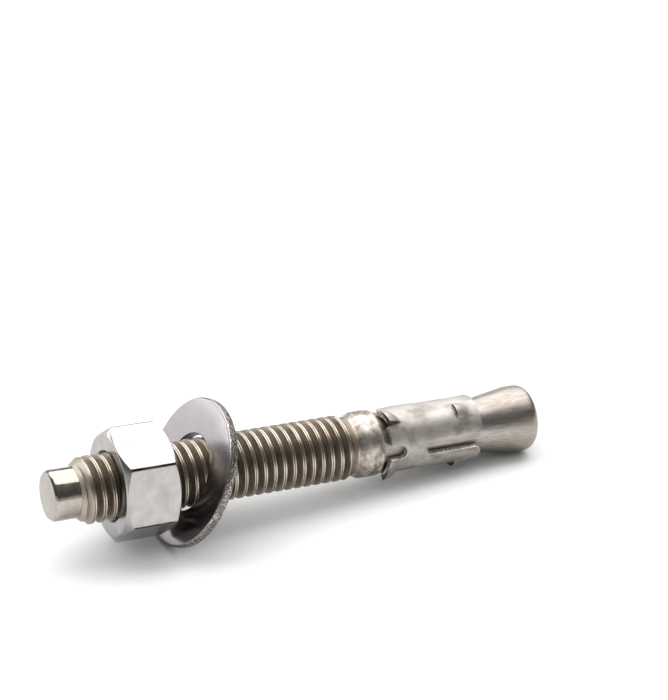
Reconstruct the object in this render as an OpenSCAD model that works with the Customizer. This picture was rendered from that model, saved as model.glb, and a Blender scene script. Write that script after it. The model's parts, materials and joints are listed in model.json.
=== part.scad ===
// Torque controlled wedge anchor for drilled holes, lying as it comes to rest:
// a threaded stud with a cone on one end, a slotted expansion clip around the
// neck before the cone, a loose plain washer and a hexagon nut on the thread.
// Every piece is drawn standing along +Z, from the plain point of the stud at
// z = 0 to its cone end, and then laid down on the floor by the module lay().

/* [Thread] */
// Outside diameter of the rolled thread
thread_d = 12.4; // [11.6:0.1:12.5]
// Distance from one crest to the next
pitch = 1.954; // [1.8:0.002:2.1]
// Length of the threaded part
thread_l = 53; // [46:0.5:70]
// Depth of the thread in the stud
thread_depth = 1.1; // [1:0.05:1.2]
// Width of the thread crest in the stud
crest_w = 0.45; // [0.15:0.01:0.5]
// Room between the crest and the nut's thread, across the radius
thread_gap = 0.22; // [0.15:0.01:0.3]
// Room between the flanks of the two threads, along the axis
flank_gap = 0.1; // [0.08:0.01:0.13]

/* [Stud] */
// Step from the root of the thread down to the plain point, across the radius
point_step = 0.4; // [0.1:0.05:1]
// Length of the plain point
point_l = 5.3; // [3:0.1:10]
// Bevel on the rim of the plain point
point_bevel = 0.5; // [0.2:0.1:1]
// Step from the thread's crest down to the plain shank, across the radius
shank_step = 0.6; // [0.2:0.05:1]
// Length of the plain shank past the thread
shank_l = 1.1; // [1:0.1:4]
// Height of the collar that stops the clip over the thread's crest
collar_step = 0.1; // [0:0.05:0.3]
// Length of the collar
collar_l = 5.1; // [3:0.1:8]
// Length of the slope up to the collar
collar_slope_l = 1.3; // [0.5:0.1:2]
// Radius on the rim of the collar next to the neck
collar_edge_r = 0.6; // [0.3:0.1:1]
// Diameter of the neck that the clip wraps
neck_d = 9.8; // [9.2:0.1:10.2]
// Largest diameter of the cone
cone_d = 12.9; // [12.4:0.1:13.1]
// Length of the cone's slope
cone_l = 9.6; // [7:0.1:14]
// Length of the straight land past the slope
land_l = 1.8; // [1:0.1:5]
// Radius on the end of the cone
cone_end_r = 2; // [1:0.1:2.5]

/* [Expansion clip] */
// Length of the clip
clip_l = 19.5; // [15:0.1:30]
// Thickness of its sheet
clip_t = 1.15; // [0.9:0.05:1.2]
// Room between the clip and the neck, across the radius
clip_gap = 0.15; // [0.1:0.01:0.25]
// Room left between the clip and the cone's slope, across the radius
cone_gap = 0.05; // [0.03:0.01:0.08]
// Room for the clip to slide towards the collar
clip_room = 1.4; // [1.3:0.1:5]
// Width of the slots
slot_w = 2.9; // [2:0.1:3.2]
// Length of the short slots at the collar end
short_slot_l = 3.2; // [2.5:0.1:5]
// Length of sheet that joins two plates between a short and a long slot
bridge_l = 4.3; // [2:0.1:6]
// Width of the open seam along the clip
seam_w = 1.1; // [0.6:0.1:2]
// Length of the cut that frees the ears at the collar end
ear_l = 3; // [2:0.1:4]
// Width of the ears at their free edge
ear_w = 4.4; // [3:0.1:4.8]
// Height to which the ears are bent out over the sheet
ear_h = 1.3; // [0.6:0.1:1.6]
// Distance of the ears' cut from the middle of their plate
ear_shift = 0.6; // [0:0.1:1]
// Width of the cuts beside the ears and before the bumps
lance_w = 0.4; // [0.2:0.05:0.6]
// Distance of the lanced bumps from the cone end of the clip
bump_from_end = 4.9; // [4:0.1:6]
// Length of the straight part of the bumps
bump_l = 1.3; // [0.5:0.1:2]
// Radius of the punch that presses the bumps
bump_r = 2; // [1.6:0.1:2.4]
// Height of the bumps over the sheet
bump_h = 0.45; // [0.2:0.05:0.6]

/* [Washer] */
// Outside diameter of the washer
washer_d = 27.7; // [25:0.1:30]
// Room between the bore of the washer and the collar, across the diameter
bore_room = 2.2; // [1:0.1:2.4]
// Thickness of the washer
washer_t = 1.7; // [1.5:0.1:3]
// Radius on the rim of the washer
washer_edge_r = 0.5; // [0.1:0.05:0.6]
// Distance of the washer from the point of the stud
washer_at = 27.7; // [26:0.1:40]
// Room left where the leaning washer meets the thickest part of the stud
washer_play = 0.5; // [0.1:0.05:0.6]

/* [Nut] */
// Width of the nut across its flats
nut_af = 19; // [18:0.1:20]
// Height of the nut
nut_h = 10.6; // [8:0.1:12]
// Diameter of the chamfer circle on both faces of the nut
nut_face_d = 18.4; // [17:0.1:18.8]
// Slope of the nut's chamfer, in degrees
nut_chamfer = 33; // [20:1:35]
// Diameter of the countersinks on both ends of the nut's thread
nut_sink_d = 13.8; // [13:0.1:15]
// Distance of the nut from the point of the stud
nut_at = 11.4; // [6.5:0.1:12.5]
// Turn of the nut about the stud
nut_turn = 48; // [0:1:60]

/* [Hidden] */

$fn = 96;
eps = 0.01;
turn_steps = 24;
arc_steps = 7;
plates = 3;

// Half of the sixty degree thread form
function flank_w(depth) = depth * tan(30);

thread_r = thread_d / 2;
core_r = thread_r - thread_depth;
point_r = core_r - point_step;
shank_r = thread_r - shank_step;
collar_r = thread_r + collar_step;
neck_r = neck_d / 2;
cone_r = cone_d / 2;

// Places along the stud, one after the other
thread_at = point_l;
shank_at = thread_at + thread_l;
collar_at = shank_at + shank_l;
neck_at = collar_at + collar_l;
clip_at = neck_at + clip_room;
clip_end = clip_at + clip_l;

// The clip rests against the cone, with its bore's edge a hair off the slope
clip_r = neck_r + clip_gap;
clip_out_r = clip_r + clip_t;
long_slot_l = clip_l - short_slot_l - bridge_l;
cone_slope = (cone_r - neck_r) / cone_l;
cone_at = clip_end - (clip_gap - cone_gap) / cone_slope;
land_at = cone_at + cone_l;
stud_l = land_at + land_l + cone_end_r;
plate_angle = 360 / plates;
first_slot = 267;

// The washer leans on the stud nearly as far as the room in its bore lets it
washer_bore = 2 * collar_r + bore_room;
washer_span = norm([washer_bore, washer_t]);
lean = acos((2 * collar_r + washer_play) / washer_span) - atan(washer_t / washer_bore);

// Slope of the stud when the rims of the washer and of the cone lie on the floor
washer_rise = (washer_d / 2 - washer_edge_r) * cos(lean) + (washer_t / 2 - washer_edge_r) * sin(lean);
washer_reach = (washer_t / 2 - washer_edge_r) * cos(lean) - (washer_d / 2 - washer_edge_r) * sin(lean);
foot_at = stud_l - cone_end_r;
rise = washer_rise - (cone_r - cone_end_r);
run = foot_at - washer_at - washer_reach;
slope = acos((cone_end_r - washer_edge_r) / norm([rise, run])) - atan2(run, rise);

// Place of the stud's point that centres the lying anchor over the origin
back_x = -(point_r - point_bevel) * sin(slope);
front_x = foot_at * cos(slope) + (cone_r - cone_end_r) * sin(slope) + cone_end_r;
point_x = -(back_x + front_x) / 2;
point_z = foot_at * sin(slope) + (cone_r - cone_end_r) * cos(slope) + cone_end_r;

// Points on an arc, used for every rounded rim
function arc(centre, r, from, to, n = arc_steps) =
    [for (i = [0:n]) let (a = from + (to - from) * i / n) centre + r * [cos(a), sin(a)]];

// Lays a piece that stands along +Z down on the floor, with the cone towards +X
module lay() {
    translate([point_x, 0, point_z]) rotate([0, 90 + slope, 0]) children();
}

// A right hand screw ridge that rises out of the radius root_r between two
// heights. Its height fades in and out over the given part of a turn. Ridges
// with the same pitch are in mesh, because the turn depends only on the height
// over the thread's start.
module screw_ridge(from, to, root_r, crest_r, root_w, top_w, fade) {
    n = round((to - from) / pitch * turn_steps);
    fade_n = max(1, fade * turn_steps);
    function place(i) = from + pitch * i / turn_steps;
    function turned(i) = 360 * (place(i) - thread_at) / pitch;
    function growth(i) = min(1, (i + 0.5) / fade_n, (n - i + 0.5) / fade_n);
    function corner(i, r, half) = [r * cos(turned(i)), r * sin(turned(i)), place(i) + half];
    points = [
        for (i = [0:n])
            let (r = root_r + (crest_r - root_r) * growth(i))
            each [
                corner(i, root_r, -root_w / 2),
                corner(i, r, -top_w / 2),
                corner(i, r, top_w / 2),
                corner(i, root_r, root_w / 2)
            ]
    ];
    sides = [
        for (i = [0:n - 1], k = [0:3])
            let (a = 4 * i + k, b = 4 * i + (k + 1) % 4)
            each [[a, b, b + 4], [a, b + 4, a + 4]]
    ];
    start = [[2, 1, 0], [3, 2, 0]];
    finish = [[4 * n, 4 * n + 1, 4 * n + 2], [4 * n, 4 * n + 2, 4 * n + 3]];
    polyhedron(points, concat(sides, start, finish), convexity = 10);
}

// The stud is one turned, rolled and drawn bar: point, thread, collar, neck, cone
module stud_body() {
    rotate_extrude() polygon(concat(
        [[0, 0], [point_r - point_bevel, 0], [point_r, point_bevel]],
        [[point_r, thread_at], [core_r, thread_at + point_step]],
        [[core_r, shank_at], [shank_r, shank_at + shank_r - core_r]],
        [[shank_r, collar_at], [collar_r, collar_at + collar_slope_l]],
        arc([collar_r - collar_edge_r, neck_at - collar_edge_r], collar_edge_r, 0, 90),
        [[neck_r, neck_at]],
        [[neck_r, cone_at], [cone_r, land_at]],
        arc([cone_r - cone_end_r, foot_at], cone_end_r, 0, 90),
        [[0, stud_l]]
    ));
}

module stud_thread() {
    buried = 0.1;
    root_r = core_r - buried;
    screw_ridge(
        thread_at + pitch * 0.6, shank_at, root_r, thread_r,
        crest_w + 2 * flank_w(thread_r - root_r), crest_w, 0.5
    );
}

module stud() {
    color("#b8b0a4") lay() union() {
        stud_body();
        stud_thread();
    }
}

module at_slots() {
    for (i = [0:plates - 1]) rotate(first_slot + plate_angle * i) children();
}

module at_plates() {
    for (i = [0:plates - 1]) rotate(first_slot + plate_angle * (i + 0.5)) children();
}

// A slot along the clip with one round end, cut from the axis outwards
module clip_slot(length, width) {
    rotate([0, 90, 0]) linear_extrude(clip_out_r + 1) {
        translate([-(length - width / 2), 0]) circle(d = width, $fn = 32);
        translate([-(length - width / 2), -width / 2]) square([length - width / 2 + 1, width]);
    }
}

// Point at a distance around and along the clip, and at a radius
function on_clip(around, along, r) =
    let (a = around / clip_out_r * 180 / PI) [r * cos(a), r * sin(a), clip_at + along];

// The ear is a triangle of the sheet, cut free on one side, open at the collar
// end and folded out along its third side, which starts inside the sheet. Its
// free edge stands a little back from the end of the clip.
module ear() {
    root = 0.1;
    back = 0.15;
    corners = [
        [ear_shift, back, ear_h], [ear_shift, back + ear_l, -root], [ear_shift - ear_w, back, -root]
    ];
    polyhedron(
        concat(
            [for (c = corners) on_clip(c[0], c[1], clip_out_r + c[2])],
            [for (c = corners) on_clip(c[0], c[1], clip_r + c[2])]
        ),
        [[2, 1, 0], [3, 4, 5], [0, 1, 4], [0, 4, 3], [1, 2, 5], [1, 5, 4], [2, 0, 3], [2, 3, 5]]
    );
}

// The window that an ear leaves in the sheet stays inside the fold
module ear_window() {
    length = 0.8 * ear_l;
    width = 0.8 * ear_w;
    over = 1;
    translate([clip_r - 1, ear_shift, clip_at])
        rotate([0, 90, 0]) linear_extrude(clip_t + 2) polygon([
            [over, lance_w], [over, -width * (length + over) / length], [-length, 0], [-length, lance_w]
        ]);
}

// The bump is a half round rib that a punch presses out of the sheet. It is
// lanced at the end that faces the collar and fades out towards the cone.
module punch(r) {
    translate([clip_out_r + bump_h - bump_r, 0, clip_end - bump_from_end]) {
        cylinder(r = r, h = bump_l, $fn = 48);
        translate([0, 0, bump_l]) sphere(r, $fn = 48);
    }
}

// Room in front of the bump: over the sheet it ends the rib, and its last part
// is the slit that goes through the sheet
module before_bump(from_r, length) {
    translate([from_r, -bump_r * 0.75, clip_end - bump_from_end - length])
        cube([2 * bump_r, bump_r * 1.5, length]);
}

// The clip is one stamped sheet, rolled around the neck until its ends nearly
// meet: three plates, parted by a short and a long slot, with one open seam
module expansion_clip() {
    color("#a39d98") lay() difference() {
        union() {
            difference() {
                translate([0, 0, clip_at]) cylinder(r = clip_out_r, h = clip_l);
                at_plates() ear_window();
            }
            at_plates() {
                ear();
                difference() {
                    punch(bump_r);
                    before_bump(0, 2 * bump_r);
                }
            }
        }
        translate([0, 0, clip_at - 1]) cylinder(r = clip_r, h = clip_l + 2);
        at_plates() {
            punch(bump_r - clip_t);
            before_bump(clip_r - 1, lance_w);
        }
        at_slots() {
            translate([0, 0, clip_at]) clip_slot(short_slot_l, slot_w);
            translate([0, 0, clip_end]) mirror([0, 0, 1]) clip_slot(long_slot_l, slot_w);
        }
        rotate(first_slot + plate_angle)
            translate([0, -seam_w / 2, clip_at - 1]) cube([clip_out_r + 1, seam_w, clip_l + 2]);
    }
}

module washer() {
    half = washer_t / 2;
    rim = washer_d / 2 - washer_edge_r;
    bore_rim = washer_bore / 2 + washer_edge_r;
    color("#b3aea6") lay() translate([0, 0, washer_at]) rotate([0, lean, 0])
        rotate_extrude() polygon(concat(
            arc([rim, half - washer_edge_r], washer_edge_r, 0, 90),
            arc([bore_rim, half - washer_edge_r], washer_edge_r, 90, 180),
            arc([bore_rim, washer_edge_r - half], washer_edge_r, 180, 270),
            arc([rim, washer_edge_r - half], washer_edge_r, 270, 360)
        ));
}

// Block of the nut: a hexagon whose corners are turned off at both ends
module nut_block() {
    corner_r = nut_af / 2 / cos(30);
    face_r = nut_face_d / 2;
    drop = (corner_r + 1 - face_r) * tan(nut_chamfer);
    intersection() {
        rotate(nut_turn) cylinder(r = corner_r, h = nut_h, $fn = 6);
        rotate_extrude() polygon([
            [0, 0], [face_r, 0], [corner_r + 1, drop],
            [corner_r + 1, nut_h - drop], [face_r, nut_h], [0, nut_h]
        ]);
    }
}

module nut_countersink() {
    sink_r = nut_sink_d / 2;
    translate([0, 0, -eps]) cylinder(r1 = sink_r + eps, r2 = sink_r - 2, h = 2 + eps);
}

module hex_nut() {
    nut_core_r = core_r + thread_gap + 0.15;
    nut_crest_r = thread_r + thread_gap;
    buried = 0.1;
    root_r = nut_core_r - buried;
    base_w = crest_w + 2 * flank_gap;
    color("#aaa59d") lay() difference() {
        translate([0, 0, nut_at]) nut_block();
        translate([0, 0, nut_at - 1]) cylinder(r = nut_core_r, h = nut_h + 2);
        screw_ridge(
            nut_at - pitch, nut_at + nut_h + pitch, root_r, nut_crest_r,
            base_w + 2 * flank_w(thread_r - root_r), base_w - 2 * flank_w(thread_gap), 0
        );
        translate([0, 0, nut_at]) nut_countersink();
        translate([0, 0, nut_at + nut_h]) mirror([0, 0, 1]) nut_countersink();
    }
}

stud();
expansion_clip();
washer();
hex_nut();
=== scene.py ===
# %% [markdown]
# A wedge anchor in stainless steel. The real one has four pieces: a stud that
# was turned and rolled from one bar, a slotted clip stamped from sheet, a
# punched washer and a hexagon nut. This lesson gives each of them a smooth mesh
# in the place of its plain construction solid, and a finish that follows how
# its surface was made.
#
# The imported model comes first, because it says where every piece lies. Its box
# is kept, so that the finished pieces can be compared with it at the end.

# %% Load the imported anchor
import json
import math

import bmesh
import bpy
import numpy as np
from mathutils import Matrix, Vector


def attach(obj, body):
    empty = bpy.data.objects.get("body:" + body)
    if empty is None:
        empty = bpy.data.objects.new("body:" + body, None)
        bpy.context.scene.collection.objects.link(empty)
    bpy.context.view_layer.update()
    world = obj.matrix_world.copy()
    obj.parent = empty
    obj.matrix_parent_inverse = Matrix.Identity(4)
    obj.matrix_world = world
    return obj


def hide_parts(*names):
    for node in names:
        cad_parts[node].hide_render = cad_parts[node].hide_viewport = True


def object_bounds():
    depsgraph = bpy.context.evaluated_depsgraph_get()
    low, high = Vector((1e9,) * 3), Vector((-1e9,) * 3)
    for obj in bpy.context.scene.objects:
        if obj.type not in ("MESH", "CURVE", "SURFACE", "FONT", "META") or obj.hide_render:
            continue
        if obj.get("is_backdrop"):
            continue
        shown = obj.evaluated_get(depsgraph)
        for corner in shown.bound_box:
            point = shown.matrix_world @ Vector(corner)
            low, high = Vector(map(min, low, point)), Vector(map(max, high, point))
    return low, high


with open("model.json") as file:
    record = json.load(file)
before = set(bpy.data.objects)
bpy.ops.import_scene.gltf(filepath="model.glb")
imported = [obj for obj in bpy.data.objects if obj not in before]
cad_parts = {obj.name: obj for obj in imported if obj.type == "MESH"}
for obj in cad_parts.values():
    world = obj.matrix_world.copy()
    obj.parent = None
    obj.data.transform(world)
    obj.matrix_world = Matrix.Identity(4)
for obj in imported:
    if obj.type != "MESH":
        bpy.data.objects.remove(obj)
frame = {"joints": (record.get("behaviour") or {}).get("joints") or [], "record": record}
cad_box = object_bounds()

# %% [markdown]
# All pieces share the stud's axis, and the anchor lies at a slope, so the pieces
# are easiest to draw standing up: z runs along the stud from its plain point to
# its cone. One matrix then lays them down. The axis comes from a joint, and a
# point on it from the mount on the thread, which lies 40 mm from the point.

# %% The stud's axis
MM = 0.001
mounts = {mount["name"]: mount for mount in frame["record"]["mounts"]}
joints = {joint["name"]: joint for joint in frame["joints"]}
mount_at = 40
axis = Vector(joints["clip_slide"]["axis"])
stud_point = Vector(mounts["stud_thread"]["pos_m"]) - axis * mount_at * MM
slope = math.asin(-axis.z)
lay = Matrix.Translation(stud_point) @ Matrix.Rotation(math.pi / 2 + slope, 4, "Y")
print(f"the axis slopes {math.degrees(slope):.2f} degrees from {tuple(round(x, 4) for x in stud_point)}")

# %% [markdown]
# The driving sizes, in millimetres. They are those of a half inch anchor with 13
# threads to the inch, and the same as in the construction model.

# %% Sizes of the stud
thread_r = 6.2
pitch = 1.954
thread_depth = 1.1
crest_w = 0.56
core_r = thread_r - thread_depth
point_r, point_l, point_bevel = 4.7, 5.3, 0.5
thread_end = 58.3
shank_r = 5.6
collar_at, collar_end, collar_r = 59.4, 64.5, 6.3
neck_r = 4.9
cone_at, land_at, cone_end, cone_r = 84.78, 94.38, 98.18, 6.45
print(f"{(thread_end - point_l) / pitch:.1f} turns of thread")

# %% [markdown]
# Turned and rolled pieces are grids of points: rings along the axis, and columns
# around it. A ring closes on itself. On a screw thread, a row that follows the
# helix has climbed one pitch after a full turn, and runs into another row. So
# each row says which row it carries on into, and one function makes both kinds
# of mesh. Points that fall together, as at a closed end, are merged.

# %% A mesh from rows of points
def add_piece(name, rows, carry, body, materials, pick=None, smooth_angle=40):
    """Mesh piece from rows[i, c] in mm; row i runs into row carry[i] after a turn."""
    count, columns = rows.shape[:2]
    index = np.arange(count * columns).reshape(count, columns)
    beside = np.concatenate([index[:, 1:], index[carry, :1]], axis=1)
    quads = np.stack([index[:-1], beside[:-1], beside[1:], index[1:]], axis=-1).reshape(-1, 4)
    mesh = bpy.data.meshes.new(name)
    mesh.from_pydata((rows.reshape(-1, 3) * MM).tolist(), [], quads.tolist())
    clean(mesh)
    return place_piece(mesh, name, body, materials, pick, smooth_angle)


def clean(mesh):
    """Merges the points that fall together and turns all faces outwards."""
    work = bmesh.new()
    work.from_mesh(mesh)
    bmesh.ops.remove_doubles(work, verts=work.verts, dist=0.001 * MM)
    bmesh.ops.recalc_face_normals(work, faces=work.faces)
    work.to_mesh(mesh)
    work.free()


def place_piece(mesh, name, body, materials, pick, smooth_angle):
    """Lays the standing mesh down, gives it its materials and lets it ride."""
    for material in materials:
        mesh.materials.append(material)
    if pick is not None:
        for face in mesh.polygons:
            centre = face.center / MM
            face.material_index = pick(centre.z, math.hypot(centre.x, centre.y))
    mesh.shade_smooth()
    mesh.set_sharp_from_angle(angle=math.radians(smooth_angle))
    piece = bpy.data.objects.new(name, mesh)
    bpy.context.scene.collection.objects.link(piece)
    piece.matrix_world = lay
    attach(piece, body)
    print(f"{name}: {len(mesh.vertices)} points, {len(mesh.polygons)} faces")
    return piece

# %% [markdown]
# No real edge is sharp: a tool or a tumbling barrel leaves a small radius, and
# the light runs along it as a thin line. An outline is given as its corners,
# each with a radius, and every corner becomes a short curve.

# %% Rounded outlines
def rounded(corners, steps=4):
    """Outline through (z, r, radius) corners, with each corner replaced by a curve."""
    points = []
    for i, (z, r, radius) in enumerate(corners):
        here = np.array([z, r])
        if radius == 0 or i in (0, len(corners) - 1):
            points.append(here)
            continue
        back = np.array(corners[i - 1][:2]) - here
        ahead = np.array(corners[i + 1][:2]) - here
        back_l, ahead_l = np.linalg.norm(back), np.linalg.norm(ahead)
        turn = math.pi - math.acos(np.clip(back @ ahead / (back_l * ahead_l), -1, 1))
        reach = min(radius * math.tan(turn / 2), 0.49 * back_l, 0.49 * ahead_l)
        first, last = here + back / back_l * reach, here + ahead / ahead_l * reach
        for t in np.linspace(0, 1, steps + 1):
            points.append((1 - t) ** 2 * first + 2 * t * (1 - t) * here + t ** 2 * last)
    return np.array(points)


def spin(outline, angles):
    """Rings of points from an outline of (z, r) pairs."""
    z, r = outline[:, :1], outline[:, 1:]
    return np.stack([r * np.cos(angles), r * np.sin(angles), z + 0 * angles], axis=-1)


def columns_around(count, start=0.0):
    return start + 2 * np.pi * np.arange(count) / count


def smooth_step(value, low, high):
    t = np.clip((value - low) / (high - low), 0, 1)
    return t * t * (3 - 2 * t)

# %% [markdown]
# A rolled thread has a rounded root, straight flanks at sixty degrees, and a
# crest that was pushed up from both sides by the rolling dies. The two halves
# don't quite close, so a shallow crease runs along the crest, and it shows as a
# double bright line. Few points are spent on the flanks and more on the crest.

# %% The thread's form
crest_crease = 0.15
crease_w = 0.16
half_pitch = pitch / 2
crest_points = [0, 0.08, 0.15, 0.2, 0.24, 0.28, 0.32, 0.37, 0.43]
flank_points = [0.55, 0.68, 0.8, 0.9]
one_side = np.array(crest_points + flank_points)
thread_offsets = np.concatenate([[-half_pitch], -one_side[:0:-1], one_side])


def soft_limit(value, low, high, softness=0.06):
    """Keeps a value between two limits with rounded bends."""
    value = low + softness * np.logaddexp(0, (value - low) / softness)
    return high - softness * np.logaddexp(0, (high - value) / softness)


def thread_form(offset):
    """Height of the thread, from 0 at the root to 1 at the crest, at mm from the crest."""
    fall = (np.abs(offset) - crest_w / 2) / math.tan(math.radians(30))
    crease = crest_crease * np.exp(-((offset / crease_w) ** 2))
    return 1 - (soft_limit(fall, 0, thread_depth) + crease) / thread_depth


def screw(start, end, radius_at, offsets, angles):
    """Rows along the helix between two heights, and the row each one runs into."""
    first, last = (start - point_l) / pitch, (end - point_l) / pitch
    turns = np.arange(math.floor(first) - 1, math.ceil(last) + 2)
    climb = (turns[:, None] + offsets[None, :] / pitch).reshape(-1, 1)
    z = np.clip(point_l + pitch * (climb + angles / (2 * np.pi)), start, end)
    offset = (((z - point_l) / pitch - angles / (2 * np.pi) + 0.5) % 1 - 0.5) * pitch
    r = radius_at(z, offset)
    rows = np.stack([r * np.cos(angles), r * np.sin(angles), z], axis=-1)
    return rows, np.minimum(np.arange(len(rows)) + len(offsets), len(rows) - 1)


def join_rows(parts):
    """Stacks blocks of (rows, carry) into one."""
    rows, carries, start = [], [], 0
    for block, carry in parts:
        rows.append(block)
        carries.append(carry + start)
        start += len(block)
    return np.concatenate(rows), np.concatenate(carries)


def rings(block):
    return block, np.arange(len(block))


print(f"{len(thread_offsets)} rows a turn")

# %% [markdown]
# The colours are written as sRGB hex values, as a picture editor shows them, and
# one function turns them to the linear values that the shader needs. Another
# small function adds a node with its settings and what goes into its inputs.

# %% Colours and nodes
def linear(hex_colour):
    """Linear colour of an sRGB hex value."""
    parts = [int(hex_colour[i:i + 2], 16) / 255 for i in (1, 3, 5)]
    return [p / 12.92 if p <= 0.04045 else ((p + 0.055) / 1.055) ** 2.4 for p in parts] + [1.0]


def add_node(tree, kind, settings=None, inputs=None):
    """Adds a node. Inputs go by name or number, and are values or other nodes' outputs."""
    made = tree.nodes.new("ShaderNode" + kind)
    for name, value in (settings or {}).items():
        setattr(made, name, value)
    for name, value in (inputs or {}).items():
        if isinstance(value, bpy.types.NodeSocket):
            tree.links.new(value, made.inputs[name])
        else:
            made.inputs[name].default_value = value
    return made


def new_material(name):
    material = bpy.data.materials.new(name)
    material.use_nodes = True
    tree = material.node_tree
    tree.nodes.clear()
    return material, tree


def metal_shader(tree, colour, roughness, normal):
    """Ends a metal's node tree: a metal reflects in its own colour and has no gloss coat."""
    shader = add_node(tree, "BsdfPrincipled", inputs={
        "Base Color": colour, "Metallic": 1.0, "Roughness": roughness, "Normal": normal})
    add_node(tree, "OutputMaterial", inputs={"Surface": shader.outputs["BSDF"]})

# %% [markdown]
# Every finish here is a pattern on a round piece. The patterns read the piece's
# own standing coordinates, so they need no unwrapping and have no seam: stretched
# along the axis they are drawing lines, and squeezed to the axis alone they are
# the rings that a turning tool leaves. A pattern's size is given in millimetres.

# %% Coordinates and patterns on a standing piece
def standing_place(tree):
    """Place on the standing piece, in mm, with its distance from the axis."""
    place = add_node(tree, "TexCoord").outputs["Object"]
    place = add_node(tree, "VectorMath", {"operation": "SCALE"}, {0: place, "Scale": 1 / MM}).outputs[0]
    parts = add_node(tree, "SeparateXYZ", inputs={0: place}).outputs
    flat = add_node(tree, "CombineXYZ", inputs={0: parts["X"], 1: parts["Y"]}).outputs[0]
    radius = add_node(tree, "VectorMath", {"operation": "LENGTH"}, {0: flat}).outputs["Value"]
    return place, radius, parts["Z"]


def grain(tree, place, across, along, detail=3.0, roughness=0.55):
    """Noise whose spots are so many mm across the piece and along its axis."""
    scale = (1 / across, 1 / across, 1 / along)
    place = add_node(tree, "Mapping", inputs={"Vector": place, "Scale": scale}).outputs[0]
    noise = add_node(tree, "TexNoise", inputs={
        "Vector": place, "Scale": 1.0, "Detail": detail, "Roughness": roughness})
    return noise.outputs["Fac"]


def rings_pattern(tree, radius, along, feed, detail=2.0):
    """Rings a tool leaves: around a cylinder, and concentric on its end face."""
    travel = add_node(tree, "Math", {"operation": "ADD"}, {0: radius, 1: along}).outputs[0]
    travel = add_node(tree, "Math", {"operation": "DIVIDE"}, {0: travel, 1: feed}).outputs[0]
    noise = add_node(tree, "TexNoise", {"noise_dimensions": "1D"}, {
        "W": travel, "Scale": 1.0, "Detail": detail})
    return noise.outputs["Fac"]


def ramp(tree, value, stops, socket="Color"):
    """Colours or greys along a value: stops are (place, hex colour) pairs."""
    made = add_node(tree, "ValToRGB", inputs={0: value})
    elements = made.color_ramp.elements
    while len(elements) < len(stops):
        elements.new(0.5)
    for element, (at, colour) in zip(elements, stops):
        element.position = at
        element.color = linear(colour)
    return made.outputs[socket]


def span(tree, value, low, high, to_low, to_high):
    return add_node(tree, "MapRange", inputs={
        "Value": value, "From Min": low, "From Max": high,
        "To Min": to_low, "To Max": to_high}).outputs[0]


def blend(tree, share, first, second, mode="MIX"):
    made = add_node(tree, "Mix", {"data_type": "RGBA", "blend_type": mode}, {0: share, 6: first, 7: second})
    return made.outputs[2]


def bump(tree, height, depth_mm, under=None):
    """Relief of a height from 0 to 1 that is so many mm deep."""
    inputs = {"Height": height, "Strength": 1.0, "Distance": depth_mm * MM}
    if under is not None:
        inputs["Normal"] = under
    return add_node(tree, "Bump", inputs=inputs).outputs[0]

# %% [markdown]
# The plain point was turned: bright, with fine rings around it and on its end
# face. A turning feed of about 0.15 mm is near what the picture can show, so the
# rings are drawn at twice that. Stainless steel has a warm grey reflection.

# %% Turned stainless steel
def turned_stainless():
    material, tree = new_material("turned_304_stainless")
    place, radius, along = standing_place(tree)
    tool = rings_pattern(tree, radius, along, feed=0.3)
    haze = grain(tree, place, across=1.6, along=1.6)
    colour = ramp(tree, haze, [(0.3, "#8e8880"), (0.7, "#a59f97")])
    roughness = span(tree, haze, 0.3, 0.7, 0.09, 0.19)
    metal_shader(tree, colour, roughness, bump(tree, tool, 0.004))
    return material


# %% [markdown]
# The thread was rolled between dies. The flanks and roots keep a brown film of
# lubricant and scale, and the crests are rubbed bright. The distance from the
# axis tells root from crest, so one ramp gives both colours. The dies leave fine
# lines around the bar and small pits.

# %% Rolled thread
def rolled_stainless():
    material, tree = new_material("rolled_304_stainless")
    place, radius, along = standing_place(tree)
    height = span(tree, radius, core_r, thread_r, 0, 1)
    film = grain(tree, place, across=2.5, along=1.2, detail=4)
    flank = ramp(tree, height, [
        (0.0, "#776d61"), (0.3, "#8d8376"), (0.86, "#80766a"), (0.93, "#958b7e"), (0.965, "#cfc9c0")])
    stain = ramp(tree, film, [(0.35, "#b7a996"), (0.62, "#ffffff")])
    colour = blend(tree, 0.5, flank, stain, "MULTIPLY")
    colour = blend(tree, span(tree, along, point_l + 0.3, point_l + 2.6, 0, 1), linear("#a0988b"), colour)
    lines = grain(tree, place, across=3, along=0.22, detail=2)
    pits = grain(tree, place, across=0.3, along=0.3, detail=2)
    roughness = span(tree, height, 0.6, 1, 0.48, 0.24)
    normal = bump(tree, pits, 0.015, bump(tree, lines, 0.03))
    metal_shader(tree, colour, roughness, normal)
    return material


# %% [markdown]
# The collar was upset: a die pressed the bar thicker there. Such a surface is
# mottled, with burnished spots, dull spots and a straw tint left by heat.

# %% Pressed collar and shank
def pressed_stainless():
    material, tree = new_material("pressed_304_stainless")
    place, radius, along = standing_place(tree)
    spots = grain(tree, place, across=2.2, along=1.6, detail=5, roughness=0.62)
    tint = grain(tree, place, across=3.5, along=2.5, detail=2)
    colour = ramp(tree, spots, [(0.34, "#6f6963"), (0.48, "#a09a92"), (0.68, "#c6c0b8")])
    straw = ramp(tree, tint, [(0.4, "#dcc5b2"), (0.6, "#ffffff")])
    colour = blend(tree, 0.4, colour, straw, "MULTIPLY")
    roughness = span(tree, spots, 0.3, 0.7, 0.5, 0.3)
    dents = grain(tree, place, across=1.4, along=1.0, detail=3)
    metal_shader(tree, colour, roughness, bump(tree, dents, 0.04))
    return material


# %% [markdown]
# The neck and the cone were drawn through a die along the axis, so their marks
# are fine streaks along the piece, and they are brighter than the thread.

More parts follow.
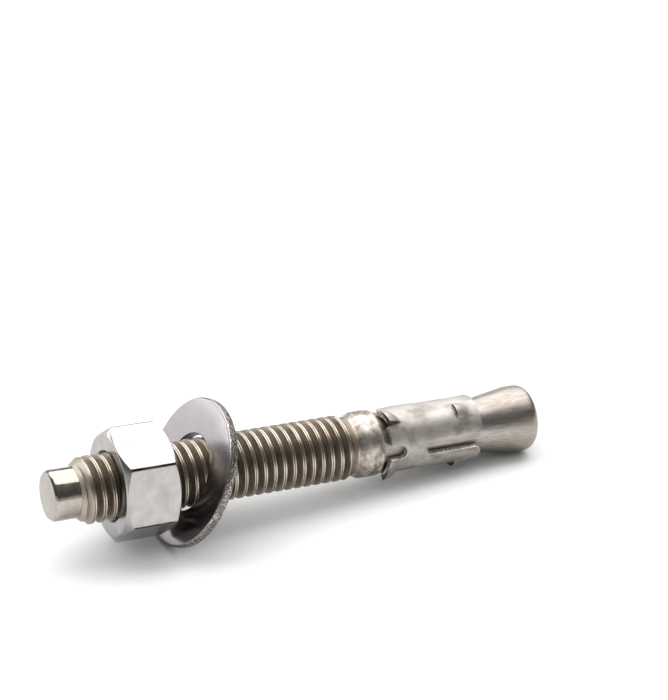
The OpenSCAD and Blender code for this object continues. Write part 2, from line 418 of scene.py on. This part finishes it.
# %% Drawn cone
def drawn_stainless():
    material, tree = new_material("drawn_304_stainless")
    place, radius, along = standing_place(tree)
    streaks = grain(tree, place, across=0.3, along=7, detail=4)
    cloud = grain(tree, place, across=3, along=4, detail=3)
    colour = ramp(tree, streaks, [(0.3, "#86807a"), (0.7, "#a39e98")])
    warm = ramp(tree, cloud, [(0.4, "#e8ddce"), (0.62, "#ffffff")])
    colour = blend(tree, 0.4, colour, warm, "MULTIPLY")
    roughness = span(tree, cloud, 0.3, 0.7, 0.42, 0.32)
    metal_shader(tree, colour, roughness, bump(tree, streaks, 0.006))
    return material


# %% [markdown]
# The stud is one mesh: rings for the point, rows along the helix for the thread,
# and rings again for the collar, neck and cone. A chamfer cuts the first turn of
# the thread down to the plain point, so that a nut can start on it, and the last
# turn sinks into the shank.

# %% The stud
screw_from, screw_to = 4.8, 59.3


def stud_radius(z, offset):
    core = point_r + (core_r - point_r) * smooth_step(z, point_l - 0.5, point_l + 0.3)
    core = core + (shank_r - core_r) * smooth_step(z, thread_end - 0.3, thread_end + 0.9)
    lead_in = point_r + (thread_r - point_r) * np.clip((z - point_l + 0.6) / 1.9, 0, 1)
    fade = 1 - smooth_step(z, thread_end - 0.4 * pitch, thread_end + 0.5 * pitch)
    tip = core_r + (thread_r - core_r) * thread_form(offset) * fade
    return np.maximum(core, np.minimum(lead_in, tip))


def build_stud():
    angles = columns_around(108)
    point = rounded([
        (0, 0, 0), (0, point_r - point_bevel, 0.15), (point_bevel, point_r, 0.5),
        (screw_from - 0.5, point_r, 0), (screw_from, point_r, 0)])
    collar = [
        (screw_to, shank_r, 0), (collar_at + 0.1, shank_r, 0.4), (collar_at + 1.3, collar_r, 1.4),
        (collar_end, collar_r, 0.5), (collar_end, neck_r, 0.3)]
    cone = [
        (cone_at, neck_r, 12), (land_at, cone_r, 8), (cone_end, cone_r, 2.3), (cone_end, 1.5, 0), (cone_end, 0, 0)]
    screw_part = screw(screw_from, screw_to, stud_radius, thread_offsets, angles)
    parts = [rings(spin(point, angles)), screw_part, rings(spin(rounded(collar + cone, 6), angles))]
    rows, carry = join_rows(parts)

    def finish_at(z, r):
        if z < screw_from:
            return 0
        if z < thread_end + 0.8:
            return 1
        return 2 if z < collar_end - 0.01 else 3

    materials = [turned_stainless(), rolled_stainless(), pressed_stainless(), drawn_stainless()]
    stud = add_piece("stud_dressed", rows, carry, "stud", materials, finish_at)
    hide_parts("stud")
    return stud


stud = build_stud()

# %% [markdown]
# The nut was cold formed: flat sides with soft edges, and both ends chamfered on
# a lathe, which cuts the curved line into each side. A column of the nut's mesh
# knows how far out its hexagon lies there, and so where it meets the chamfer. So
# every column gets the same rounded outline, and the curved line comes out by
# itself. The hexagon's corners are rounded by following a circle between sides.

# %% The nut's outer form
nut_at, nut_h, nut_af = 11.4, 10.6, 19
nut_turn = math.radians(48)
nut_face_r = 9.2
nut_chamfer = math.radians(33)
nut_corner_r = 0.8
nut_sink_r = 6.65
nut_gap = 0.22


def hexagon_radius(angle):
    """Distance from the axis to the nut's side, with rounded corners."""
    inner = nut_af / 2 - nut_corner_r
    corner_at = inner / math.cos(math.radians(30))
    from_corner = abs((angle - nut_turn + math.pi / 6) % (math.pi / 3) - math.pi / 6)
    swing = corner_at * math.sin(from_corner)
    flat = nut_af / 2 / math.cos(math.pi / 6 - from_corner)
    if swing >= nut_corner_r:
        return flat
    return min(flat, corner_at * math.cos(from_corner) + math.sqrt(nut_corner_r ** 2 - swing ** 2))


def nut_column(angle):
    """The nut's outline at one angle, from the lower bore rim to the upper one."""
    side = hexagon_radius(angle)
    drop = max(0.02, (side - nut_face_r) * math.tan(nut_chamfer))
    return rounded([
        (0, nut_sink_r, 0), (0, nut_sink_r + 0.3, 0), (0, nut_face_r, 0.9),
        (drop, side, 0.35), (nut_h / 2, side, 0), (nut_h - drop, side, 0.35),
        (nut_h, nut_face_r, 0.9), (nut_h, nut_sink_r + 0.3, 0), (nut_h, nut_sink_r, 0)])


nut_edge_r = hexagon_radius(nut_turn)
print(f"across corners {2 * nut_edge_r:.2f} mm, across flats {nut_af} mm")

# %% [markdown]
# Inside, the nut's thread is the stud's form with a little more room, cut off by
# a countersink at each end. The helix rows make it too. They join the outside at
# both rims, where the points of the two skins fall on each other.

# %% The nut
nut_offsets = np.concatenate([[-half_pitch], -one_side[:0:-2], one_side[::2]])


def nut_bore(z, offset):
    groove = core_r + nut_gap + 0.15 + (thread_r - core_r - 0.1) * np.clip(thread_form(offset), 0, 1)
    sink = nut_sink_r - np.minimum(z - nut_at, nut_at + nut_h - z)
    return np.maximum(groove, sink)


def cold_formed_stainless():
    """Satin sides with a faint cloud, left by the forming tools and the barrel, and a thin painted dark reflection
    along each rounded corner.
    """
    material, tree = new_material("cold_formed_304_stainless")
    place, radius, along = standing_place(tree)
    haze = grain(tree, place, across=2.5, along=2.5, detail=4)
    fine = grain(tree, place, across=0.3, along=0.3, detail=2)
    colour = ramp(tree, haze, [(0.32, "#92908e"), (0.5, "#9b9896"), (0.7, "#a2a09e")])
    broken = grain(tree, place, across=1.5, along=2.5)
    # Painted dark reflection: a thin dark line along the nut's rounded corners, broken by noise.
    painted_dark_edge = span(tree, radius, nut_edge_r - 0.035, nut_edge_r - 0.01, 0, 1)
    painted_dark_edge = add_node(tree, "Math", {"operation": "MULTIPLY"}, {0: painted_dark_edge, 1: span(tree, broken, 0.35, 0.5, 0.35, 1)}).outputs[0]
    colour = blend(tree, painted_dark_edge, colour, linear("#2a2623"))
    roughness = span(tree, haze, 0.3, 0.7, 0.25, 0.18)
    normal = bump(tree, fine, 0.003, bump(tree, haze, 0.018))
    metal_shader(tree, colour, roughness, normal)
    return material


def tapped_stainless():
    """The cut thread in the nut, with lines that the tap left around it."""
    material, tree = new_material("tapped_304_stainless")
    place, radius, along = standing_place(tree)
    lines = grain(tree, place, across=1.5, along=0.12, detail=2)
    colour = ramp(tree, lines, [(0.3, "#6d655a"), (0.7, "#a8a196")])
    metal_shader(tree, colour, 0.35, bump(tree, lines, 0.02))
    return material


def build_nut():
    near_corner = np.radians([-2.6, -2.2, -1.8, -1.3, -0.8, -0.3, 0.3, 0.8, 1.3, 1.8, 2.2, 2.6])
    along_side = np.radians(np.linspace(5, 55, 11))
    angles = (nut_turn + columns_around(6)[:, None] + np.concatenate([near_corner, along_side])).ravel()
    outside = np.stack([
        np.stack([c[:, 1] * math.cos(a), c[:, 1] * math.sin(a), c[:, 0] + nut_at], axis=-1)
        for a, c in ((a, nut_column(a)) for a in angles)], axis=1)
    inside, carry = screw(nut_at, nut_at + nut_h, nut_bore, nut_offsets, angles)
    outside_part = (outside, np.arange(len(outside)))
    rows, carry = join_rows([outside_part, (inside[::-1], len(inside) - 1 - carry[::-1])])
    bore_r = nut_sink_r - 0.02

    def finish_at(z, r):
        return 1 if r < bore_r else 0

    nut = add_piece("nut_dressed", rows, carry, "nut", [cold_formed_stainless(), tapped_stainless()], finish_at)
    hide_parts("hex_nut")
    return nut


nut = build_nut()

# %% [markdown]
# The washer was punched from sheet. Its faces keep the mill's satin finish. The
# punch bends the rim over on one side, cuts a smooth band, and then tears the
# rest, which leaves a rough, sparkling rim. The rim gets its own material, and
# its torn part is also moved in and out by a few hundredths of a millimetre.

# %% Punched washer
washer_at, washer_t, washer_r, bore_r = 27.7, 1.7, 13.85, 7.15
rim_r = 0.4
bore_shift = 0.05
washer_mount = mounts["bearing_face"]
washer_tilt = math.acos(Vector(washer_mount["axis"]).dot(axis))


def mill_stainless():
    material, tree = new_material("mill_finish_304_stainless")
    place, radius, along = standing_place(tree)
    fine = grain(tree, place, across=0.2, along=0.2, detail=3)
    cloud = grain(tree, place, across=5, along=5, detail=3)
    colour = ramp(tree, cloud, [(0.3, "#928e8f"), (0.7, "#9c9899")])
    roughness = span(tree, cloud, 0.3, 0.7, 0.26, 0.2)
    normal = bump(tree, fine, 0.003)
    metal_shader(tree, colour, roughness, normal)
    return material


def sheared_stainless():
    material, tree = new_material("sheared_304_stainless")
    place, radius, along = standing_place(tree)
    torn = grain(tree, place, across=0.3, along=0.3, detail=4, roughness=0.7)
    colour = ramp(tree, torn, [(0.4, "#23201d"), (0.48, "#67625c"), (0.54, "#7d776f"), (0.64, "#dcd8d2")])
    metal_shader(tree, colour, 0.36, bump(tree, torn, 0.09))
    return material


def bore_shade_stainless():
    """The bore's wall: burnished by the punch, and painted dark in patches as shade."""
    material, tree = new_material("bore_painted_shade_304_stainless")
    place, radius, along = standing_place(tree)
    shade_patches = grain(tree, place, across=1.2, along=1.2, detail=3)
    colour = ramp(tree, shade_patches, [(0.35, "#2b2622"), (0.65, "#4d463f")])
    metal_shader(tree, colour, 0.4, bump(tree, shade_patches, 0.01))
    return material


def build_washer():
    """The washer's outline runs around its section, so its last ring meets its first."""
    half = washer_t / 2
    section = rounded([
        (0, bore_r, 0), (-half, bore_r, 0.15), (-half, washer_r, rim_r * 1.3),
        (half * 0.1, washer_r, 0.1), (half, washer_r - 0.06, rim_r * 0.8), (half, bore_r, 0.12), (0, bore_r, 0)], 5)
    angles = columns_around(288)
    rows = spin(section, angles)
    rows[..., 0] += bore_shift * ((washer_r - section[:, 1]) / (washer_r - bore_r))[:, None]
    rng = np.random.default_rng(7)
    torn = rng.normal(0, 0.02, (len(section), len(angles)))
    on_rim = (section[:, 1] > washer_r - 0.3) & (section[:, 0] > -half * 0.55) & (section[:, 0] < half * 0.75)
    rows[..., :2] *= 1 + (torn * on_rim[:, None] / washer_r)[..., None]
    turn = np.array(Matrix.Rotation(washer_tilt, 3, "Y"))
    rows = rows @ turn.T + np.array([0, 0, washer_at])
    back = turn.T

    # The third material is the bore's wall, painted dark as shade.
    materials = [mill_stainless(), sheared_stainless(), bore_shade_stainless()]
    washer = add_piece("washer_dressed", rows, np.arange(len(rows)), "washer", materials)
    for face in washer.data.polygons:
        x, y, z = back @ (np.array(face.center) / MM - np.array([0, 0, washer_at]))
        if math.hypot(x, y) > washer_r - 0.12:
            face.material_index = 1
        elif math.hypot(x, y) < bore_r + bore_shift + 0.1:
            face.material_index = 2
    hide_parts("washer")
    return washer


washer = build_washer()

# %% [markdown]
# The clip is one stamped sheet that was rolled around the neck. It is three
# plates, which hang together by bridges between a short slot and a long one, and
# one open seam. A plate is a grid from slot edge to slot edge. Where a slot's
# half width is zero, two plates share their edge points and merge into one
# sheet. Rows stand closer together where a slot's end curves.

# %% The clip's slots
clip_at, clip_l, clip_t = 65.9, 19.5, 1.15
clip_r = neck_r + 0.15 + clip_t
slot_w, short_slot_l, bridge_l, seam_w = 2.9, 3.2, 4.3, 1.1
long_slot_at = short_slot_l + bridge_l
plates = 3
first_slot = math.radians(267)
seam_slot = 1
end_corner_r = 1.3
ear_l, ear_w, ear_h, ear_shift, lance_w = 3.0, 4.4, 1.3, 0.6, 0.4
bump_at, bump_l, bump_w, bump_h = clip_l - 4.9, 3.5, 1.8, 0.75


def round_end(distance, half):
    """Half width of a slot, at a distance from its round end."""
    inside = np.clip(half - distance, 0, half)
    return np.where(distance <= 0, 0, np.sqrt(np.maximum(half ** 2 - inside ** 2, 0)))


def corner_cut(distance, radius):
    """How far a rounded corner of the sheet stands back, at a distance from its end."""
    inside = np.clip(radius - distance, 0, radius)
    return radius - np.sqrt(np.maximum(radius ** 2 - inside ** 2, 0))


def slot_half_width(z, slot):
    short = round_end(short_slot_l - z, slot_w / 2) + corner_cut(z, 0.5)
    long = round_end(z - long_slot_at, slot_w / 2) + corner_cut(clip_l - z, end_corner_r)
    half = np.where(z < short_slot_l, short, long)
    if slot % plates == seam_slot:
        half = np.maximum(half, seam_w / 2)
    return half


def clip_heights():
    """Rows of the clip: even, with more where a slot's end or the sheet's corner curves."""
    curve = (1 - np.cos(np.linspace(0, math.pi / 2, 9))) * slot_w / 2
    heights = [np.linspace(0, clip_l, 78), short_slot_l - curve, long_slot_at + curve,
               clip_l - curve * 2 * end_corner_r / slot_w, curve * 0.35, [bump_at, ear_l]]
    heights = np.unique(np.round(np.concatenate(heights), 3))
    close = np.diff(heights, prepend=-1) > 0.03
    kept = np.isin(heights, np.round([bump_at, ear_l, short_slot_l, long_slot_at, clip_l], 3))
    return heights[close | kept]


print(f"{len(clip_heights())} rows along the clip")

# %% [markdown]
# Each plate has an ear at the collar end, a triangle that is cut along one side
# and folded out along another, and a bump near the cone end, a half dome that
# the punch tears open on the side that faces the collar. Both are heights over
# the sheet. The grid is split along the two cuts, so the sheet opens there.

# %% Ears and bumps
def ear_height(around, z):
    """Height of the folded triangle, from its fold to its free corner."""
    fold = (ear_shift - around) / ear_w + (z / ear_l) ** 2
    return ear_h * np.clip(1 - fold, 0, 1) ** 1.15


def bump_height(around, z):
    """Height of the lanced dome, highest at its torn edge."""
    side = np.clip(1 - (around / bump_w) ** 2, 0, 1)
    along = np.clip((z - bump_at) / bump_l, 0, 1)
    return bump_h * side * (1 - smooth_step(along, 0.15, 1))


def sheet_waves(angle, z):
    """The rolled sheet is not quite round, and a little flat between its bends."""
    flat = np.cos(3 * (angle - first_slot) + math.pi)
    return 0.03 * flat + 0.02 * np.sin(2.1 * angle + 0.35 * z) + 0.015 * np.sin(0.9 * z + angle)


def plate_block(plate, heights, left_cut, right_cut, ear_side, dome):
    """Grid of one part of a plate, between two cuts given as mm from its middle."""
    middle = first_slot + 2 * math.pi / plates * (plate + 0.5)
    share = np.linspace(0, 1, 25)
    left, right = left_cut(heights)[:, None], right_cut(heights)[:, None]
    around = left + (right - left) * share
    z = np.repeat(heights[:, None], len(share), axis=1)
    angle = middle + around / clip_r
    height = sheet_waves(angle, z)
    if ear_side:
        height = height + ear_height(around, z)
    if dome:
        height = height + bump_height(around, z)
    r = clip_r + height
    return np.stack([r * np.cos(angle), r * np.sin(angle), z + clip_at], axis=-1)


def stamped_stainless():
    """Satin sheet, stained where it was rolled and pressed."""
    material, tree = new_material("stamped_304_stainless")
    place, radius, along = standing_place(tree)
    cloud = grain(tree, place, across=3.2, along=4.5, detail=4)
    fine = grain(tree, place, across=0.3, along=0.3, detail=2)
    colour = ramp(tree, cloud, [(0.32, "#99948f"), (0.5, "#a8a39e"), (0.7, "#b4afaa")])
    patches = grain(tree, place, across=2.6, along=3.6, detail=4)
    stain = ramp(tree, patches, [(0.36, "#aca298"), (0.5, "#ffffff")])
    colour = blend(tree, 0.5, colour, stain, "MULTIPLY")
    roughness = span(tree, cloud, 0.3, 0.7, 0.6, 0.5)
    normal = bump(tree, fine, 0.004, bump(tree, cloud, 0.04))
    metal_shader(tree, colour, roughness, normal)
    return material


def blanked_stainless():
    """The cut edges of the sheet: finer and smoother than the washer's torn rim. Where they stand out of the sheet,
    at the domes and ears, they get painted shade.
    """
    material, tree = new_material("blanked_304_stainless")
    place, radius, along = standing_place(tree)
    cut = grain(tree, place, across=0.3, along=0.3, detail=3)
    colour = ramp(tree, cut, [(0.38, "#a09a94"), (0.62, "#efece8")])
    # Painted shade: the cut edges that stand out over the sheet, at the lanced domes and the ears, are darkened.
    raised_edge_shade = span(tree, radius, clip_r + 0.1, clip_r + 0.2, 0, 1)
    colour = blend(tree, raised_edge_shade, colour, linear("#4a453f"))
    metal_shader(tree, colour, 0.45, bump(tree, cut, 0.04))
    return material


def build_clip():
    half_plate = math.pi * clip_r / plates
    heights = clip_heights()
    before = heights[heights <= bump_at + 1e-6]
    after = heights[heights >= bump_at - 1e-6]
    blocks = []
    for plate in range(plates):
        def left_edge(z, slot=plate):
            return slot_half_width(z, slot) - half_plate

        def right_edge(z, slot=plate + 1):
            return half_plate - slot_half_width(z, slot)

        def cut(z):
            return np.full(len(z), ear_shift)

        def cut_open(z):
            return ear_shift + lance_w * np.clip(1 - z / ear_l, 0, 1)

        blocks.append(plate_block(plate, before, left_edge, cut, True, False))
        blocks.append(plate_block(plate, before, cut_open, right_edge, False, False))
        blocks.append(plate_block(plate, after, left_edge, cut, False, True))
        blocks.append(plate_block(plate, after, cut, right_edge, False, True))

    points, quads = [], []
    for block in blocks:
        index = np.arange(block.shape[0] * block.shape[1]).reshape(block.shape[:2]) + len(points)
        points.extend(block.reshape(-1, 3) * MM)
        quads.extend(np.stack(
            [index[:-1, :-1], index[:-1, 1:], index[1:, 1:], index[1:, :-1]], axis=-1).reshape(-1, 4).tolist())
    mesh = bpy.data.meshes.new("clip_dressed")
    mesh.from_pydata([tuple(p) for p in points], [], quads)
    clean(mesh)
    materials = [stamped_stainless(), blanked_stainless()]
    clip = place_piece(mesh, "clip_dressed", "clip", materials, None, 60)
    thickness = clip.modifiers.new("sheet", "SOLIDIFY")
    thickness.thickness = clip_t * MM
    thickness.offset = -1
    thickness.use_even_offset = True
    thickness.material_offset_rim = 1
    edges = clip.modifiers.new("edges", "BEVEL")
    edges.width = 0.24 * MM
    edges.segments = 2
    edges.material = 1
    edges.limit_method = "ANGLE"
    edges.angle_limit = math.radians(50)
    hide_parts("expansion_clip")
    return clip


clip = build_clip()

# %% [markdown]
# The camera looks down on the anchor from the side of its point, as in a plain
# product picture. Its place, heading and tilt are real values, and its lens is
# given by how many pixels one unit of slope covers in a picture 668 pixels wide.

# %% Camera
picture_long_side = 700
camera_place = Vector((-161.5, -343.4, 234.3)) * MM
heading, tilt, roll = 0.4579, 0.4886, -0.0043
focal_pixels = 2369


def build_camera():
    forward = Vector((math.sin(heading) * math.cos(tilt), math.cos(heading) * math.cos(tilt), -math.sin(tilt)))
    right = Vector((math.cos(heading), -math.sin(heading), 0))
    up = right.cross(forward)
    turned_right = right * math.cos(roll) + up * math.sin(roll)
    turned_up = up * math.cos(roll) - right * math.sin(roll)
    data = bpy.data.cameras.new("camera")
    data.lens = focal_pixels / picture_long_side * data.sensor_width
    data.clip_start = 0.01
    camera = bpy.data.objects.new("camera", data)
    camera.matrix_world = Matrix.Translation(camera_place) @ Matrix(
        (turned_right, turned_up, -forward)).transposed().to_4x4()
    bpy.context.scene.collection.objects.link(camera)
    bpy.context.scene.camera = camera
    return camera


camera = build_camera()
print(f"lens {camera.data.lens:.1f} mm, {camera_place.length:.3f} m from the middle of the anchor")

# %% [markdown]
# Polished metal shows what is around it, so the light is part of its finish. A
# broad soft lamp hangs overhead and reaches far behind the anchor, the floor is
# pale and bright, and the room on the camera's side is dark. So round pieces get
# a bright band on top, a dark band in the middle and a pale one below.

# %% Floor, room and lamp
def pale_floor():
    """Matt white paper, which takes the shadow, and is painted darker where the anchor nearly touches it."""
    material, tree = new_material("white_paper")
    # Painted contact shadow: an Ambient Occlusion node darkens the paper's colour within 6 mm of the anchor.
    painted_contact_shade = add_node(tree, "AmbientOcclusion", {"samples": 8}, {"Distance": 6 * MM}).outputs["AO"]
    grey = ramp(tree, painted_contact_shade, [(0.05, "#747474"), (0.6, "#dadada")])
    paper = add_node(tree, "BsdfDiffuse", inputs={"Color": grey, "Roughness": 1.0})
    add_node(tree, "OutputMaterial", inputs={"Surface": paper.outputs[0]})
    return material


def build_floor():
    mesh = bpy.data.meshes.new("floor")
    reach = 3.0
    mesh.from_pydata([(-reach, -reach, 0), (reach, -reach, 0), (reach, reach, 0), (-reach, reach, 0)], [], [(0, 1, 2, 3)])
    mesh.materials.append(pale_floor())
    floor = bpy.data.objects.new("floor", mesh)
    bpy.context.scene.collection.objects.link(floor)
    floor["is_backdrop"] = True


def build_room():
    """The room lights softly, is darker towards the horizon, and is white to the camera."""
    world = bpy.data.worlds.new("room")
    bpy.context.scene.world = world
    world.use_nodes = True
    tree = world.node_tree
    tree.nodes.clear()
    place = add_node(tree, "TexCoord").outputs["Generated"]
    height = add_node(tree, "SeparateXYZ", inputs={0: place}).outputs["Z"]
    grey = ramp(tree, height, [(0.0, "#ececec"), (0.13, "#dedede"), (0.22, "#6c6c6c"), (0.5, "#6c6c6c"), (1.0, "#9a9a9a")])
    rays = add_node(tree, "LightPath").outputs
    grey = blend(tree, rays["Is Diffuse Ray"], grey, linear("#ffffff"))
    walls = add_node(tree, "Background", inputs={"Color": grey, "Strength": 1.0})
    white = add_node(tree, "Background", inputs={"Color": (1, 1, 1, 1), "Strength": 1.0})
    mixed = add_node(tree, "MixShader", inputs={0: rays["Is Camera Ray"], 1: walls.outputs[0], 2: white.outputs[0]})
    add_node(tree, "OutputWorld", inputs={"Surface": mixed.outputs[0]})


def add_lamp(name, place, aim, size, power):
    data = bpy.data.lights.new(name, "AREA")
    data.shape = "RECTANGLE"
    data.size, data.size_y = size
    data.energy = power
    lamp = bpy.data.objects.new(name, data)
    lamp.location = place
    lamp.rotation_euler = (Vector(aim) - Vector(place)).to_track_quat("-Z", "Y").to_euler()
    bpy.context.scene.collection.objects.link(lamp)


build_floor()
build_room()
add_lamp("overhead_softbox", (0.1, 0.35, 0.62), (0.05, 0.1, 0), (1.6, 1.2), 20)
add_lamp("low_window", (-0.75, 0.95, 0.17), (0, 0, 0.02), (0.7, 0.22), 1.4)
scene = bpy.context.scene
scene.view_settings.view_transform = "Standard"

# %% [markdown]
# The last cell prints the size of the finished anchor's box beside that of the imported model.
# The last cell compares the box of the finished anchor with that of the packed model, which it
# may not outgrow.

# %% Sizes
dressed_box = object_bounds()
boxes = {"cad": [list(corner) for corner in cad_box], "dressed": [list(corner) for corner in dressed_box]}
for name, (low, high) in boxes.items():
    print(name, [round((b - a) / MM, 2) for a, b in zip(low, high)], "mm")
